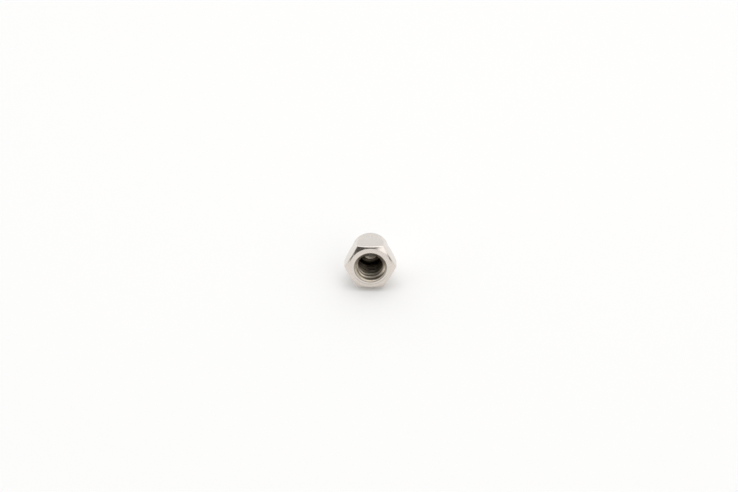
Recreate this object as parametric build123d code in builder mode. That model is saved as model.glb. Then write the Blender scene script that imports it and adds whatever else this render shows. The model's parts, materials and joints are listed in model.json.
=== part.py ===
from build123d import *

import os
from math import atan2, cos, radians, sin, sqrt, tan

# A short coupling nut, turned from hexagon bar in one piece. Its hexagon head holds the threaded
# socket. Behind the head the bar is turned down to a taper and a plain round shank, where the socket
# ends in a shoulder with a small outlet that runs on through the rear face.
#
# Millimetres, +Z up. The nut is heaviest behind its flats, so it lies tipped back, on the rear end of
# one flat and on the rear edge of its shank, with its threaded mouth raised and towards -Y. The
# origin is in the middle of the bounding box's base, on the surface under the nut.

# Hexagon bar and overall length
across_flats = 9.525
bar_corner_radius = 0.15
overall_length = 9.05

# Head: the front is chamfered down to a circle, the rear is turned to a taper that ends the flats
flat_end = 4.5
head_face_diameter = 8.85
front_chamfer_angle = 30.0
rear_taper_angle = 30.0

# Shank
shank_diameter = 7.7
shank_root_radius = 0.4
shank_edge_chamfer = 0.2

# Threaded socket: 1/4-20, its wall at the crests of the thread
socket_diameter = 5.2
socket_depth = 7.4
mouth_diameter = 6.75
mouth_angle = 90.0

# Outlet through the closed end of the socket
outlet_diameter = 2.3
seat_diameter = 3.25
seat_angle = 130.0
outlet_edge_chamfer = 0.15

# How the nut lies: its frame has its origin in the middle of the front face, and leans back until
# the rear end of the lowest flat and the edge of the shank both touch the surface
flat_radius = across_flats / 2
shank_radius = shank_diameter / 2
head_face_radius = head_face_diameter / 2
lean = atan2(flat_radius - shank_radius, overall_length - shank_edge_chamfer - flat_end)
shank_edge_radius = shank_radius - shank_edge_chamfer
footprint_length = overall_length * cos(lean) + (shank_edge_radius + head_face_radius) * sin(lean)
front_centre = Vector(
    0,
    head_face_radius * sin(lean) - footprint_length / 2,
    flat_end * sin(lean) + flat_radius * cos(lean),
)
outward = Vector(0, -cos(lean), sin(lean))
front_plane = Plane(origin=front_centre, x_dir=(1, 0, 0), z_dir=outward)
floor_plane = front_plane.offset(-socket_depth)
nut_axis = Axis(front_centre, -outward)

# Plane of the turned outline: across the nut along X, and along the nut's axis towards the rear
outline_plane = Plane(origin=front_centre, x_dir=(1, 0, 0), z_dir=(0, sin(lean), cos(lean)))

# The outline runs out past the corners of the bar, so that its cones cut the corners alone
turning_radius = across_flats / sqrt(3) + 0.1
front_rise = (turning_radius - head_face_radius) * tan(radians(front_chamfer_angle))
taper_fall = (turning_radius - flat_radius) / tan(radians(rear_taper_angle))
taper_length = (flat_radius - shank_radius) / tan(radians(rear_taper_angle))

with BuildPart() as coupling_nut:
    # Hexagon bar, one flat down
    with BuildSketch(front_plane) as bar_section:
        RegularPolygon(radius=flat_radius, side_count=6, major_radius=False)
        fillet(bar_section.vertices(), radius=bar_corner_radius)
    extrude(amount=-overall_length)

    # Turning: end face, front chamfer, rear taper and shank, kept within the bar
    with BuildSketch(outline_plane) as turned_section:
        with BuildLine():
            Polyline(
                (0, 0),
                (head_face_radius, 0),
                (turning_radius, front_rise),
                (turning_radius, flat_end - taper_fall),
                (shank_radius, flat_end + taper_length),
                (shank_radius, overall_length),
                (0, overall_length),
                close=True,
            )
        make_face()
        taper_foot = (shank_radius, flat_end + taper_length)
        shank_root = turned_section.vertices().sort_by_distance(taper_foot)[0]
        fillet(shank_root, radius=shank_root_radius)
    revolve(axis=nut_axis, mode=Mode.INTERSECT)

    # Rear edge of the shank
    shank_rear_edge = coupling_nut.faces().sort_by(nut_axis)[-1].edges()
    chamfer(shank_rear_edge, length=shank_edge_chamfer)

    # Threaded socket with its countersunk mouth
    with Locations(front_plane):
        CounterSinkHole(
            radius=socket_diameter / 2,
            counter_sink_radius=mouth_diameter / 2,
            depth=socket_depth,
            counter_sink_angle=mouth_angle,
        )

    # Outlet: a shallow seat in the socket's floor, and a hole out through the rear face
    with Locations(floor_plane):
        CounterSinkHole(
            radius=outlet_diameter / 2,
            counter_sink_radius=seat_diameter / 2,
            counter_sink_angle=seat_angle,
        )
    rear_circles = coupling_nut.edges().filter_by(GeomType.CIRCLE).group_by(nut_axis)[-1]
    chamfer(rear_circles.sort_by(SortBy.RADIUS)[0], length=outlet_edge_chamfer)

coupling_nut.part.label = "coupling_nut"

os.makedirs("parts", exist_ok=True)
export_step(coupling_nut.part, "parts/coupling_nut.step")
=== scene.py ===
import json
import math

import bpy
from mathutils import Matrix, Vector


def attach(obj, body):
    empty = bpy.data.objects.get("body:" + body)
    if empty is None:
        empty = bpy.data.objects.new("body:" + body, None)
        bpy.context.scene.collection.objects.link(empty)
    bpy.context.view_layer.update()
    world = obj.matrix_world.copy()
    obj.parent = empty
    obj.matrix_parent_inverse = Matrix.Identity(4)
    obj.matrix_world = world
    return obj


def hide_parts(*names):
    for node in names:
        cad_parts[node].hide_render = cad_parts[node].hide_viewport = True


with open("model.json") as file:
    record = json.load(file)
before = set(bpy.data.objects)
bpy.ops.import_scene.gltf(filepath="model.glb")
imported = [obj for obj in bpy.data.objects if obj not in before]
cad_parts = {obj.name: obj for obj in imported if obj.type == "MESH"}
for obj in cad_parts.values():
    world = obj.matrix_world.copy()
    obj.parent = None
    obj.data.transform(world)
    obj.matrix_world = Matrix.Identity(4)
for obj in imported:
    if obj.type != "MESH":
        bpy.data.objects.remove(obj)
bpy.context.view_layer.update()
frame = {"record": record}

# A nickel-plated coupling nut that lies tipped back, on the rear end of one flat and on the rear edge
# of its shank, its threaded mouth towards -Y. Metres throughout. The visual nut is one closed mesh
# with the real helical thread in its socket.

MM = 0.001
NODE = "coupling_nut"

# ---------------------------------------------------------------- the nut's own frame
mounts = {mount["name"]: mount for mount in frame["record"]["mounts"]}


def mount_place(name):
    return Vector(mounts[name]["pos_m"])


OUTWARD = Vector(mounts["thread"]["axis"]).normalized()
INWARD = -OUTWARD
ACROSS = Vector((1, 0, 0))
UPWARD = ACROSS.cross(INWARD).normalized()
ON_AXIS = mount_place("thread")
FRONT_CENTRE = ON_AXIS + OUTWARD * (mount_place("front_face") - ON_AXIS).dot(OUTWARD)
LEAN = math.asin(OUTWARD.z)

# ---------------------------------------------------------------- sizes of the nut
LENGTH = (mount_place("rear_face") - FRONT_CENTRE).dot(INWARD)
FLAT_RADIUS = (mount_place("top_flat") - ON_AXIS).dot(UPWARD)
CORNER_ROUND = 0.15 * MM

FLAT_END = 4.5 * MM
FACE_RADIUS = 8.85 / 2 * MM
FRONT_SLOPE = math.tan(math.radians(30.0))
TAPER_SLOPE = 1 / math.tan(math.radians(30.0))
SHANK_RADIUS = 7.7 / 2 * MM
SHANK_CHAMFER = 0.2 * MM

SOCKET_RADIUS = mounts["thread"]["dims"]["r_mm"] * MM
SOCKET_DEPTH = 7.4 * MM
MOUTH_RADIUS = 6.75 / 2 * MM
MOUTH_SLOPE = math.tan(math.radians(45.0))
OUTLET_RADIUS = mounts["outlet"]["dims"]["r_mm"] * MM
SEAT_RADIUS = 3.25 / 2 * MM
SEAT_SLOPE = math.tan(math.radians(65.0))
OUTLET_CHAMFER = 0.15 * MM

# 1/4-20 internal thread: 60 degree flanks, cut to the major diameter from the socket wall
PITCH = 1.27 * MM
MAJOR_RADIUS = 6.35 / 2 * MM
THREAD_DEPTH = MAJOR_RADIUS - SOCKET_RADIUS
ROOT_HALF_WIDTH = PITCH / 16
FLANK_WIDTH = THREAD_DEPTH * math.tan(math.radians(30.0))
THREAD_END = 6.5 * MM
THREAD_RUNOUT = 0.9 * MM
THREAD_START_TURN = 0.35

# Rounding of the worn and plated edges
MOUTH_ROUND = 0.05 * MM
FACE_ROUND = 0.08 * MM
FLAT_ROUND = 0.22 * MM
TAPER_ROUND = 0.30 * MM
ROOT_ROUND = 0.40 * MM
REAR_ROUND = 0.12 * MM
SMALL_ROUND = 0.04 * MM

# How finely the mesh is divided, and where its socket starts inside the countersunk mouth
ROUND_STEPS = 5
STEPS_PER_FLAT = 60
STEPS_PER_CORNER = 8
MOUTH_LIP = 0.06 * MM
SNAP = 0.012 * MM

# Places in the outline where each flat of the bar starts and ends
FLAT_FRONT = 3
FLAT_REAR = 4


# ---------------------------------------------------------------- shape
def around():
    """Angles round the axis: even steps along each flat, fine steps round each corner."""
    half_flat = math.atan((FLAT_RADIUS - CORNER_ROUND) * math.tan(math.radians(30.0)) / FLAT_RADIUS)
    half_corner = math.radians(30.0) - half_flat
    angles = []
    for side in range(6):
        flat_middle = math.radians(30.0 + 60.0 * side)
        for step in range(STEPS_PER_FLAT):
            angles.append(flat_middle - half_flat + 2 * half_flat * step / STEPS_PER_FLAT)
        for step in range(STEPS_PER_CORNER):
            angles.append(flat_middle + half_flat + 2 * half_corner * step / STEPS_PER_CORNER)
    return angles


def hexagon_radius(angle):
    """Distance from the axis to the rounded hexagon, whose flats face up and down."""
    from_flat = angle % math.radians(60.0) - math.radians(30.0)
    flat_end = (FLAT_RADIUS - CORNER_ROUND) * math.tan(math.radians(30.0))
    if FLAT_RADIUS * math.tan(abs(from_flat)) <= flat_end:
        return FLAT_RADIUS / math.cos(from_flat)
    from_corner = math.radians(30.0) - abs(from_flat)
    centre = (FLAT_RADIUS - CORNER_ROUND) / math.cos(math.radians(30.0))
    across = centre * math.sin(from_corner)
    return centre * math.cos(from_corner) + math.sqrt(CORNER_ROUND**2 - across**2)


def round_corner(before, corner, after, radius):
    """Points along an arc that rounds one corner of an outline, as wide as its two sides allow."""
    into = (corner - before).normalized()
    out = (after - corner).normalized()
    turn = into.angle(out)
    reach = min(radius * math.tan(turn / 2), 0.45 * (corner - before).length, 0.45 * (after - corner).length)
    radius = reach / math.tan(turn / 2)
    side = (out - into * into.dot(out)).normalized()
    start = corner - into * reach
    centre = start + side * radius
    points = []
    for step in range(ROUND_STEPS + 1):
        swung = turn * step / ROUND_STEPS
        points.append(centre + (into * math.sin(swung) - side * math.cos(swung)) * radius)
    return points


def outline(angle):
    """The turned outline at one angle, from the mouth over the outside to the socket's floor.

    Each point is (radius, depth, turned, edge): turned is 0 on the bar's own flats and 1 on surfaces
    cut on the lathe, and edge is 1 in the middle of a rounded edge.
    """
    hexagon = hexagon_radius(angle)
    front_depth = (hexagon - FACE_RADIUS) * FRONT_SLOPE
    rear_depth = FLAT_END - (hexagon - FLAT_RADIUS) * TAPER_SLOPE
    shank_start = FLAT_END + (FLAT_RADIUS - SHANK_RADIUS) * TAPER_SLOPE
    seat_depth = (SEAT_RADIUS - OUTLET_RADIUS) / SEAT_SLOPE
    stations = [
        (MOUTH_RADIUS - MOUTH_LIP * MOUTH_SLOPE, MOUTH_LIP, 0),
        (MOUTH_RADIUS, 0, MOUTH_ROUND),
        (FACE_RADIUS, 0, FACE_ROUND),
        (hexagon, front_depth, FLAT_ROUND),
        (hexagon, rear_depth, TAPER_ROUND),
        (SHANK_RADIUS, shank_start, ROOT_ROUND),
        (SHANK_RADIUS, LENGTH - SHANK_CHAMFER, REAR_ROUND),
        (SHANK_RADIUS - SHANK_CHAMFER, LENGTH, REAR_ROUND),
        (OUTLET_RADIUS + OUTLET_CHAMFER, LENGTH, SMALL_ROUND),
        (OUTLET_RADIUS, LENGTH - OUTLET_CHAMFER, SMALL_ROUND),
        (OUTLET_RADIUS, SOCKET_DEPTH + seat_depth, SMALL_ROUND),
        (SEAT_RADIUS, SOCKET_DEPTH, SMALL_ROUND),
        (SOCKET_RADIUS, SOCKET_DEPTH, 0),
    ]
    corners = [Vector((radius, depth)) for radius, depth, _ in stations]
    points = [(*corners[0], 1.0, 0.0)]
    for index in range(1, len(stations) - 1):
        arc = round_corner(corners[index - 1], corners[index], corners[index + 1], stations[index][2])
        for step, point in enumerate(arc):
            share = step / ROUND_STEPS
            turned = {FLAT_FRONT: 1.0 - share, FLAT_REAR: share}.get(index, 1.0)
            points.append((*point, turned, math.sin(math.pi * share)))
    points.append((*corners[-1], 1.0, 0.0))
    return points


def smooth_step(low, high, value):
    share = min(max((value - low) / (high - low), 0.0), 1.0)
    return share * share * (3.0 - 2.0 * share)


def smooth_max(first, second, blend):
    """The larger of two radii, with the crease between them rounded over a blend length."""
    share = max(blend - abs(first - second), 0.0) / blend
    return max(first, second) + share * share * blend / 4


def groove_depth(distance):
    """How deep the thread is cut, from 0 to 1, at a distance along the axis from the groove's middle."""
    return smooth_step(0.0, 1.0, 0.5 + (ROOT_HALF_WIDTH + FLANK_WIDTH / 2 - distance) / (1.35 * FLANK_WIDTH))


def socket_radius(angle, depth):
    """Radius of the socket's wall: crests of the thread, helical groove and countersunk mouth."""
    turns = (depth + PITCH * angle / (2 * math.pi)) / PITCH + THREAD_START_TURN
    distance = abs(turns % 1.0 - 0.5) * PITCH
    fade = 1.0 - smooth_step(THREAD_END - THREAD_RUNOUT, THREAD_END, depth)
    wall = SOCKET_RADIUS + THREAD_DEPTH * groove_depth(distance) * fade
    return smooth_max(wall, MOUTH_RADIUS - depth * MOUTH_SLOPE, 0.04 * MM)


def turn_rows():
    """Places across one pitch for the rows of the thread's mesh, closest on the flanks."""
    flank_end = ROOT_HALF_WIDTH + FLANK_WIDTH
    half = [0.0, 0.05 * MM, 0.09 * MM, 0.14 * MM, 0.20 * MM, 0.27 * MM, 0.33 * MM]
    half += [0.38 * MM, flank_end, flank_end + 0.05 * MM, flank_end + 0.12 * MM]
    middle = PITCH / 2
    places = [middle - place for place in half] + [middle + place for place in half[1:]]
    places.append(0.0)
    return sorted(places)


def socket_mesh(angles, top_ring, floor_ring, add_vertex, add_face):
    """Fills the socket between the mouth's ring and the floor's ring, its rows along the helix."""
    places = turn_rows()
    count = len(places)
    row_total = math.ceil((SOCKET_DEPTH + PITCH) / PITCH + 1) * count
    columns = []
    for index, angle in enumerate(angles):
        column = {}
        for row in range(-count, row_total):
            turn, place = divmod(row, count)
            along = turn * PITCH + places[place] - THREAD_START_TURN * PITCH
            depth = along - PITCH * angle / (2 * math.pi)
            if depth < MOUTH_LIP + SNAP:
                column[row] = top_ring[index]
            elif depth > SOCKET_DEPTH - SNAP:
                column[row] = floor_ring[index]
            else:
                column[row] = add_vertex(angle, socket_radius(angle, depth), depth, 1.0, 0.0)
        columns.append(column)
    for index in range(len(angles)):
        here = columns[index]
        last = index == len(angles) - 1
        there = columns[0] if last else columns[index + 1]
        shift = count if last else 0
        for row in range(0, row_total - 1):
            add_face([here[row], there[row - shift], there[row + 1 - shift], here[row + 1]])


def add_values(mesh, name, kind, field, values):
    mesh.attributes.new(name, kind, "POINT").data.foreach_set(field, values)


def build_nut():
    angles = around()
    vertices = []
    places = []
    turned_values = []
    edge_values = []
    faces = []

    def add_vertex(angle, radius, depth, turned, edge):
        across, up = radius * math.cos(angle), radius * math.sin(angle)
        vertices.append(FRONT_CENTRE + ACROSS * across + INWARD * depth + UPWARD * up)
        places.extend((across / MM, depth / MM, up / MM))
        turned_values.append(turned)
        edge_values.append(edge)
        return len(vertices) - 1

    def add_face(corners):
        kept = [corner for place, corner in enumerate(corners) if corner != corners[place - 1]]
        if len(kept) > 2:
            faces.append(kept)

    rings = [[add_vertex(angle, *point) for point in outline(angle)] for angle in angles]
    for index, here in enumerate(rings):
        there = rings[(index + 1) % len(rings)]
        for row in range(len(here) - 1):
            add_face([here[row], here[row + 1], there[row + 1], there[row]])
    top_ring = [ring[0] for ring in rings]
    floor_ring = [ring[-1] for ring in rings]
    socket_mesh(angles, top_ring, floor_ring, add_vertex, add_face)

    mesh = bpy.data.meshes.new("coupling_nut_plated")
    mesh.from_pydata(vertices, [], faces)
    add_values(mesh, "nut_place", "FLOAT_VECTOR", "vector", places)
    add_values(mesh, "turned", "FLOAT", "value", turned_values)
    add_values(mesh, "edge", "FLOAT", "value", edge_values)
    mesh.polygons.foreach_set("use_smooth", [True] * len(mesh.polygons))
    mesh.validate()
    mesh.update()
    piece = bpy.data.objects.new("coupling_nut_plated", mesh)
    bpy.context.scene.collection.objects.link(piece)
    weighted = piece.modifiers.new("weighted_normals", "WEIGHTED_NORMAL")
    weighted.mode = "FACE_AREA"
    weighted.keep_sharp = True
    return piece


# ---------------------------------------------------------------- materials
class Nodes:
    """Adds nodes to a material or world and links them, one short call for each."""

    def __init__(self, owner):
        owner.use_nodes = True
        self.tree = owner.node_tree
        self.tree.nodes.clear()

    def add(self, kind, **settings):
        node = self.tree.nodes.new(kind)
        for name, value in settings.items():
            setattr(node, name, value)
        return node

    def join(self, source, target):
        self.tree.links.new(source, target)

    def put(self, socket, value):
        """Gives a socket a plain value, or links it to another node's output."""
        if isinstance(value, bpy.types.NodeSocket):
            self.join(value, socket)
        else:
            socket.default_value = value

    def math(self, operation, first, second=0.0, third=0.0):
        node = self.add("ShaderNodeMath", operation=operation)
        for socket, value in zip(node.inputs, (first, second, third)):
            self.put(socket, value)
        return node.outputs[0]

    def attribute(self, name):
        return self.add("ShaderNodeAttribute", attribute_name=name)

    def scale_vector(self, vector, factors):
        node = self.add("ShaderNodeVectorMath", operation="MULTIPLY")
        self.put(node.inputs[0], vector)
        self.put(node.inputs[1], factors)
        return node.outputs[0]

    def noise(self, vector, scale, detail):
        node = self.add("ShaderNodeTexNoise")
        self.put(node.inputs["Vector"], vector)
        self.put(node.inputs["Scale"], scale)
        self.put(node.inputs["Detail"], detail)
        return node.outputs["Fac"]

    def line_noise(self, place, scale, detail):
        node = self.add("ShaderNodeTexNoise", noise_dimensions="1D")
        self.put(node.inputs["W"], place)
        self.put(node.inputs["Scale"], scale)
        self.put(node.inputs["Detail"], detail)
        return node.outputs["Fac"]

    def ramp(self, value, low, high):
        """0 up to the first limit and 1 past the second, smoothly between them."""
        node = self.add("ShaderNodeMapRange", interpolation_type="SMOOTHSTEP")
        for socket, given in zip(node.inputs, (value, low, high)):
            self.put(socket, given)
        return node.outputs[0]

    def mix_colour(self, share, first, second):
        node = self.add("ShaderNodeMix", data_type="RGBA")
        self.put(node.inputs[0], share)
        self.put(node.inputs[6], first)
        self.put(node.inputs[7], second)
        return node.outputs[2]

    def mix_value(self, share, first, second):
        node = self.add("ShaderNodeMix", data_type="FLOAT")
        self.put(node.inputs[0], share)
        self.put(node.inputs[2], first)
        self.put(node.inputs[3], second)
        return node.outputs[0]


# Colours of the plate, of what has settled on it, and of painted shade and painted highlight in the socket
PLATE = (0.725, 0.67, 0.615, 1)
PLATE_WORN = (0.79, 0.72, 0.65, 1)
EDGE_WORN = (0.80, 0.76, 0.71, 1)
SOCKET_MOUTH = (0.68, 0.60, 0.49, 1)
SOCKET_DEEP_SHADE = (0.085, 0.070, 0.050, 1)
THREAD_ROOT_SHADE = (0.11, 0.092, 0.07, 1)
STAIN = (0.30, 0.24, 0.17, 1)
SEAT_HIGHLIGHT_COLOUR = (0.74, 0.66, 0.54, 1)
OUTLET_PAINTED_SHADE = (0.06, 0.05, 0.035, 1)
DARK_MARK = (0.16, 0.14, 0.12, 1)

# Sizes in millimetres, because the mesh gives its places to the material in millimetres
MOUTH_MM = MOUTH_RADIUS / MM
SEAT_MM = SEAT_RADIUS / MM
OUTLET_MM = OUTLET_RADIUS / MM
FLOOR_DEPTH_MM = SOCKET_DEPTH / MM
REAR_DEPTH_MM = LENGTH / MM
DARK_RING_MM = MOUTH_MM + 0.52


def outside_colour(nodes, edge, mottle):
    worn = nodes.math("MULTIPLY", mottle, 0.22)
    plate = nodes.mix_colour(worn, PLATE, PLATE_WORN)
    return nodes.mix_colour(nodes.math("MULTIPLY", edge, 0.35), plate, EDGE_WORN)


def socket_colour(nodes, place, radius, depth):
    """Painted shade in the thread's roots and further in, stained in patches, a painted highlight on the
    seat and painted shade in the outlet.
    """
    # Painted shade: the thread's roots past the countersink are darkened.
    beyond_sink = nodes.math("ADD", nodes.math("ADD", radius, depth), -MOUTH_MM)
    root = nodes.math("MULTIPLY", nodes.ramp(radius, 2.72, 2.95), nodes.ramp(beyond_sink, 0.06, 0.16))
    colour = nodes.mix_colour(nodes.math("MULTIPLY", root, 0.85), SOCKET_MOUTH, THREAD_ROOT_SHADE)
    # Painted shade: the colour darkens further into the socket.
    colour = nodes.mix_colour(nodes.ramp(depth, 0.8, 4.2), colour, SOCKET_DEEP_SHADE)

    stain = nodes.ramp(nodes.noise(place, 1.6, 3.0), 0.45, 0.7)
    colour = nodes.mix_colour(nodes.math("MULTIPLY", stain, 0.35), colour, STAIN)

    # Painted highlight: a brighter ring on the seat at the socket's floor.
    seat_out = nodes.ramp(radius, SEAT_MM + 0.05, SEAT_MM)
    seat_in = nodes.ramp(radius, OUTLET_MM, OUTLET_MM + 0.05)
    at_floor = nodes.ramp(depth, FLOOR_DEPTH_MM - 0.1, FLOOR_DEPTH_MM)
    seat_highlight = nodes.math("MULTIPLY", nodes.math("MULTIPLY", seat_out, seat_in), at_floor)
    colour = nodes.mix_colour(seat_highlight, colour, SEAT_HIGHLIGHT_COLOUR)

    # Painted shade: the outlet's wall is painted near black.
    hole_shade = nodes.ramp(radius, OUTLET_MM + 0.05, OUTLET_MM)
    return nodes.mix_colour(hole_shade, colour, OUTLET_PAINTED_SHADE)


def front_dark_marks(nodes, radius, depth, up):
    """Share of darkening: a thin darker line along the rim of the mouth, and a fainter darker ring low on
    the face.
    """
    rim = nodes.math("ABSOLUTE", nodes.math("ADD", radius, -MOUTH_MM))
    ring = nodes.math("ABSOLUTE", nodes.math("ADD", radius, -DARK_RING_MM))
    low_side = nodes.ramp(up, -1.2, -3.2)
    ring_line = nodes.math("MULTIPLY", nodes.ramp(ring, 0.13, 0.03), low_side)
    marks = nodes.math("MULTIPLY_ADD", ring_line, 0.55, nodes.ramp(rim, 0.12, 0.05))
    at_front = nodes.ramp(depth, 0.3, 0.2)
    return nodes.math("MULTIPLY", nodes.math("MULTIPLY", marks, at_front), 0.62)


def fine_lines(nodes, place, turned, radius, depth):
    """Lines round the axis where the lathe cut, and along the bar on its drawn flats."""
    along_cut = nodes.math("ADD", radius, depth)
    waver = nodes.math("MULTIPLY_ADD", nodes.noise(place, 0.9, 1.0), 0.10, along_cut)
    turning = nodes.line_noise(waver, 26.0, 3.0)
    drawing = nodes.noise(nodes.scale_vector(place, (24.0, 0.9, 24.0)), 1.0, 2.0)
    return nodes.mix_value(turned, drawing, turning)


def nickel_plate():
    """Warm nickel plate: drawn lines on the flats, turning lines elsewhere, stained in patches in the
    socket, with painted shade in its roots, deeper in and in the outlet, and a painted highlight on its
    seat.
    """
    material = bpy.data.materials.new("nickel_plate")
    nodes = Nodes(material)
    output = nodes.add("ShaderNodeOutputMaterial")
    surface = nodes.add("ShaderNodeBsdfPrincipled")
    nodes.join(surface.outputs["BSDF"], output.inputs["Surface"])
    surface.inputs["Metallic"].default_value = 1.0

    # Places in millimetres: across the nut, from the front face to the rear, and up
    place = nodes.attribute("nut_place").outputs["Vector"]
    turned = nodes.attribute("turned").outputs["Fac"]
    edge = nodes.attribute("edge").outputs["Fac"]
    parts = nodes.add("ShaderNodeSeparateXYZ")
    nodes.join(place, parts.inputs[0])
    across, depth, up = parts.outputs
    squared = nodes.math("MULTIPLY", across, across)
    radius = nodes.math("SQRT", nodes.math("MULTIPLY_ADD", up, up, squared))

    within = nodes.ramp(radius, MOUTH_MM + 0.02, MOUTH_MM - 0.05)
    before_rear = nodes.ramp(depth, REAR_DEPTH_MM - 0.2, REAR_DEPTH_MM - 0.4)
    inside = nodes.math("MULTIPLY", within, before_rear)
    mottle = nodes.ramp(nodes.noise(place, 2.2, 3.0), 0.35, 0.7)
    lines = fine_lines(nodes, place, turned, radius, depth)
    grain = nodes.noise(place, 45.0, 2.0)

    outside = outside_colour(nodes, edge, mottle)
    colour = nodes.mix_colour(inside, outside, socket_colour(nodes, place, radius, depth))
    # A darker line along the mouth's rim and a fainter darker ring low on the face.
    colour = nodes.mix_colour(front_dark_marks(nodes, radius, depth, up), colour, DARK_MARK)
    nodes.join(colour, surface.inputs["Base Color"])

    # Lathe-cut faces are a little duller than the drawn flats, and the socket duller still
    base = nodes.mix_value(turned, 0.15, 0.24)
    uneven = nodes.math("MULTIPLY_ADD", nodes.math("SUBTRACT", lines, 0.5), 0.16, base)
    uneven = nodes.math("MULTIPLY_ADD", nodes.math("SUBTRACT", mottle, 0.5), 0.05, uneven)
    nodes.join(nodes.mix_value(inside, uneven, 0.34), surface.inputs["Roughness"])

    # Height in millimetres of the lines and of the plate's fine orange peel
    height = nodes.math("MULTIPLY_ADD", lines, 0.0016, nodes.math("MULTIPLY", grain, 0.0006))
    bump = nodes.add("ShaderNodeBump")
    bump.inputs["Strength"].default_value = 0.8
    bump.inputs["Distance"].default_value = MM
    nodes.join(height, bump.inputs["Height"])
    nodes.join(bump.outputs[0], surface.inputs["Normal"])
    return material


def seen_directly_or_mirrored(nodes):
    path = nodes.add("ShaderNodeLightPath")
    either = nodes.math("MAXIMUM", path.outputs["Is Camera Ray"], path.outputs["Is Glossy Ray"])
    return nodes.math("MAXIMUM", either, path.outputs["Is Transmission Ray"])


def floor_material():
    """Pale paper that keeps the nut's shadow, lifted to white where it is looked at or mirrored."""
    material = bpy.data.materials.new("pale_floor")
    nodes = Nodes(material)
    output = nodes.add("ShaderNodeOutputMaterial")
    paper = nodes.add("ShaderNodeBsdfDiffuse")
    paper.inputs["Color"].default_value = PAPER
    glow = nodes.add("ShaderNodeEmission")
    nodes.join(nodes.math("MULTIPLY", seen_directly_or_mirrored(nodes), FLOOR_GLOW), glow.inputs["Strength"])
    both = nodes.add("ShaderNodeAddShader")
    nodes.join(paper.outputs[0], both.inputs[0])
    nodes.join(glow.outputs[0], both.inputs[1])
    nodes.join(both.outputs[0], output.inputs["Surface"])
    return material


# ---------------------------------------------------------------- studio
FLOOR_REACH = 0.30
FLOOR_GLOW = 0.10
PAPER = (0.87, 0.86, 0.84, 1)
BACKGROUND = (0.974, 0.974, 0.974, 1)
TENT_SIDES = (0.95, 0.96, 0.98, 1)
TENT_TOP = (1.08, 1.09, 1.11, 1)
WINDOW = (1.45, 1.45, 1.45, 1)
OPEN_FRONT = (0.07, 0.065, 0.06, 1)
SOFT_BOX_PLACE = (0.03, 0.12, 0.6)
SOFT_BOX_WIDTH = 0.5
SOFT_BOX_WATTS = 0.6


def build_floor():
    mesh = bpy.data.meshes.new("floor")
    corners = [(-1, -1), (1, -1), (1, 1), (-1, 1)]
    mesh.from_pydata([(x * FLOOR_REACH, y * FLOOR_REACH, 0) for x, y in corners], [], [(0, 1, 2, 3)])
    mesh.materials.append(floor_material())
    floor = bpy.data.objects.new("floor", mesh)
    bpy.context.scene.collection.objects.link(floor)


def towards(turn, rise):
    """Unit vector towards a place in the studio: degrees to the right of -Y, and above the horizon."""
    turn, rise = math.radians(turn), math.radians(rise)
    return (math.sin(turn) * math.cos(rise), -math.cos(turn) * math.cos(rise), math.sin(rise))


def patch(nodes, direction, patch_centre, inner, outer):
    """1 within an angle of a direction, falling to 0 at a wider angle, in degrees."""
    dot = nodes.add("ShaderNodeVectorMath", operation="DOT_PRODUCT")
    nodes.put(dot.inputs[0], direction)
    dot.inputs[1].default_value = patch_centre
    return nodes.ramp(dot.outputs["Value"], math.cos(math.radians(outer)), math.cos(math.radians(inner)))


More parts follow.
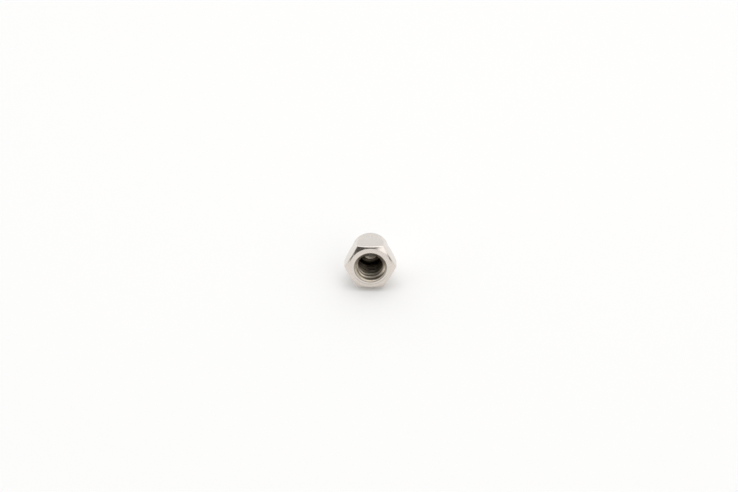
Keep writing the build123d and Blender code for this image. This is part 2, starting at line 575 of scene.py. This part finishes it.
def build_world():
    """A white tent with an open, darker front, where the camera and its stand are mirrored in the nut."""
    world = bpy.data.worlds.new("studio")
    bpy.context.scene.world = world
    nodes = Nodes(world)
    output = nodes.add("ShaderNodeOutputWorld")
    direction = nodes.add("ShaderNodeTexCoord").outputs["Generated"]
    parts = nodes.add("ShaderNodeSeparateXYZ")
    nodes.join(direction, parts.inputs[0])
    back, rise = parts.outputs[1:]

    low_front = nodes.math("MULTIPLY", nodes.ramp(rise, 0.30, 0.14), nodes.ramp(back, -0.25, -0.50))
    camera_patch = patch(nodes, direction, towards(0, 47), 13, 22)
    stand_patch = patch(nodes, direction, towards(-36, 33), 15, 27)
    dark = nodes.math("MAXIMUM", low_front, nodes.math("MAXIMUM", camera_patch, stand_patch))
    window = patch(nodes, direction, towards(40, 30), 11, 18)
    dark = nodes.math("MULTIPLY", dark, nodes.math("SUBTRACT", 1.0, window))

    overhead = nodes.ramp(rise, 0.45, 0.95)
    bright = nodes.mix_colour(overhead, TENT_SIDES, TENT_TOP)
    bright = nodes.mix_colour(window, bright, WINDOW)
    room = nodes.add("ShaderNodeBackground")
    nodes.join(nodes.mix_colour(dark, bright, OPEN_FRONT), room.inputs["Color"])
    backdrop = nodes.add("ShaderNodeBackground")
    backdrop.inputs["Color"].default_value = BACKGROUND
    path = nodes.add("ShaderNodeLightPath")
    choose = nodes.add("ShaderNodeMixShader")
    nodes.join(path.outputs["Is Camera Ray"], choose.inputs[0])
    nodes.join(room.outputs[0], choose.inputs[1])
    nodes.join(backdrop.outputs[0], choose.inputs[2])
    nodes.join(choose.outputs[0], output.inputs["Surface"])


def build_light():
    """One wide soft box over and behind the nut."""
    data = bpy.data.lights.new("soft_box", "AREA")
    data.shape = "DISK"
    data.size = SOFT_BOX_WIDTH
    data.energy = SOFT_BOX_WATTS
    light = bpy.data.objects.new("soft_box", data)
    light.location = SOFT_BOX_PLACE
    aim = FRONT_CENTRE - light.location
    light.rotation_mode = "QUATERNION"
    light.rotation_quaternion = aim.to_track_quat("-Z", "Y")
    bpy.context.scene.collection.objects.link(light)


SENSOR_WIDTH_MM = 36.0
LENS_MM = 73.2
CAMERA_DISTANCE = 0.3133
CAMERA_TO_NUT = math.radians(27.1)
CAMERA_RAISE = 4.54 * MM
CAMERA_SIDE = -0.29 * MM


def build_camera():
    """The camera looks down on the nut, 27 degrees above its axis, with the nut just under mid-frame."""
    data = bpy.data.cameras.new("camera")
    data.sensor_width = SENSOR_WIDTH_MM
    data.lens = LENS_MM
    data.clip_start = 0.01
    data.clip_end = 5.0
    camera = bpy.data.objects.new("camera", data)
    elevation = CAMERA_TO_NUT + LEAN
    back = Vector((0, -math.cos(elevation), math.sin(elevation)))
    camera.location = FRONT_CENTRE + back * CAMERA_DISTANCE
    upright = Vector((0, math.sin(elevation), math.cos(elevation)))
    target = FRONT_CENTRE + upright * CAMERA_RAISE + ACROSS * CAMERA_SIDE
    camera.rotation_mode = "QUATERNION"
    camera.rotation_quaternion = (target - camera.location).to_track_quat("-Z", "Y")
    bpy.context.scene.collection.objects.link(camera)
    bpy.context.scene.camera = camera


build_camera()
build_floor()
build_world()
build_light()

nut = build_nut()
nut.data.materials.append(nickel_plate())
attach(nut, "root")
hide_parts(NODE)

bpy.context.scene.view_settings.view_transform = "Standard"
